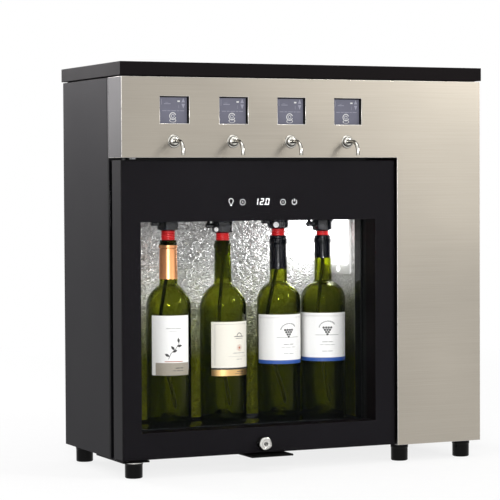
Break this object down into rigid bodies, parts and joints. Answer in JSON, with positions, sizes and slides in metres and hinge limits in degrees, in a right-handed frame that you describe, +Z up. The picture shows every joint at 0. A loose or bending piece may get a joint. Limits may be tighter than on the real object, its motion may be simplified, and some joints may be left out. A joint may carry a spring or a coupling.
{
  "type": "wine preservation dispenser",
  "caption": "Countertop wine preservation dispenser: cooled cabinet with a hinged glass door, stoppered bottles, chrome pouring taps, displays and an inner gas supply.",
  "frame": {"origin": "on the ground under the centre of the whole outline, which runs from the tap tips in front to the lid's back edge", "axes": "+Z up, -Y out of the door towards the user, +X to the right seen from the front"},
  "size_m": [0.636, 0.304, 0.641],
  "materials": {
    "cabinet_black": "fine textured black-grey coat",
    "lid_black": "satin black board",
    "stainless_front": "vertical brushed stainless",
    "throat_black": "gloss black moulding",
    "liner_aluminium": "stucco embossed sheet",
    "foam": "rigid foam",
    "zinc_sheet": "zinc plated sheet",
    "tray_black": "gloss black tray",
    "foot_rubber": "black rubber",
    "screw_steel": "plated steel",
    "plate_black": "black coated steel plate",
    "pin_chrome": "polished",
    "lamp_white": "white moulding",
    "lamp_diffuser": "opal diffuser",
    "housing_black": "black moulding",
    "display_tint": "tinted display window",
    "board_green": "circuit board",
    "tap_chrome": "polished",
    "brass_fittings": "turned brass",
    "valve_body": "black valve bodies",
    "hose_clear": "milky silicone hose",
    "hose_blue": "blue gas hose",
    "stopper_black": "gloss black moulding",
    "seal_red": "red silicone",
    "dip_black": "black tube",
    "bottle_glass": "green bottle glass",
    "capsule_foil": "coloured foil capsules",
    "label_paper": null,
    "cylinder_aluminium": "satin gas cylinder",
    "holder_black": "black moulding",
    "module_ceramic": "ceramic faced module",
    "sink_aluminium": "extruded fins",
    "fan_black": "black moulding",
    "inlet_black": "black moulding",
    "rocker_red": "red rocker",
    "knob_black": "black knob",
    "door_black": "satin black door body",
    "door_glass": "clear door panes",
    "gasket_black": "magnetic door gasket",
    "bush_nylon": "nylon bush"
  },
  "bodies": {
    "cabinet": {"side_panel_left": "cabinet_black", "side_panel_right": "cabinet_black", "back_panel": "cabinet_black", "base_pan": "cabinet_black", "top_lid": "lid_black", "front_fascia": "stainless_front", "front_frame": "throat_black", "liner": "liner_aluminium", "insulation": "foam", "divider_wall": "zinc_sheet", "valve_shelf": "zinc_sheet", "bottle_tray": "tray_black", "feet": "foot_rubber", "body_screws": "screw_steel", "hinge_plates": "plate_black", "hinge_pins": "pin_chrome", "lock_keeper": "plate_black", "lamp_base": "lamp_white", "lamp_cover": "lamp_diffuser", "display_housings": "housing_black", "display_lenses": "display_tint", "circuit_boards": "board_green", "tap_flanges": "tap_chrome", "tap_spouts": "tap_chrome", "tap_nuts": "brass_fittings", "wine_valves": "valve_body", "gas_manifold": "brass_fittings", "wine_hoses": "hose_clear", "gas_hoses": "hose_blue", "stopper_heads": "stopper_black", "stopper_seals": "seal_red", "dip_tubes": "dip_black", "wine_bottle_1": "bottle_glass", "wine_bottle_2": "bottle_glass", "wine_bottle_3": "bottle_glass", "wine_bottle_4": "bottle_glass", "bottle_capsules": "capsule_foil", "bottle_labels": "label_paper", "gas_cylinder": "cylinder_aluminium", "cylinder_holder": "holder_black", "gas_regulator": "brass_fittings", "power_supply": "zinc_sheet", "peltier_module": "module_ceramic", "cold_block": "sink_aluminium", "heat_sink": "sink_aluminium", "fan_frame": "fan_black", "power_inlet": "inlet_black", "switch_housing": "inlet_black"},
    "door": {"door_frame": "door_black", "door_glass": "door_glass", "inner_glass": "door_glass", "door_gasket": "gasket_black", "control_board": "board_green", "lock_barrel": "pin_chrome", "hinge_bushes": "bush_nylon"},
    "lock_core": {"lock_plug": "pin_chrome", "lock_cam": "screw_steel"},
    "fan": {"fan_rotor": "fan_black"},
    "rocker": {"switch_rocker": "rocker_red"},
    "gas_knob": {"regulator_knob": "knob_black"}
  },
  "joints": [
    {"name": "door_hinge", "type": "hinge", "parent": "cabinet", "child": "door", "pos_m": [-0.3045, -0.092, 0.26], "axis": [0, 0, -1], "range_deg": [0, 105]},
    {"name": "lock_turn", "type": "hinge", "parent": "door", "child": "lock_core", "pos_m": [-0.0795, -0.112, 0.044], "axis": [0, 1, 0], "range_deg": [0, 90]},
    {"name": "fan_spin", "type": "hinge", "parent": "cabinet", "child": "fan", "pos_m": [-0.0795, 0.1345, 0.2575], "axis": [0, 1, 0], "continuous": true},
    {"name": "rocker_tilt", "type": "hinge", "parent": "cabinet", "child": "rocker", "pos_m": [0.2625, 0.1425, 0.0795], "axis": [1, 0, 0], "range_deg": [0, 24]},
    {"name": "knob_turn", "type": "hinge", "parent": "cabinet", "child": "gas_knob", "pos_m": [0.2385, -0.03, 0.3857], "axis": [0, 0, 1], "range_deg": [0, 300]}
  ]
}
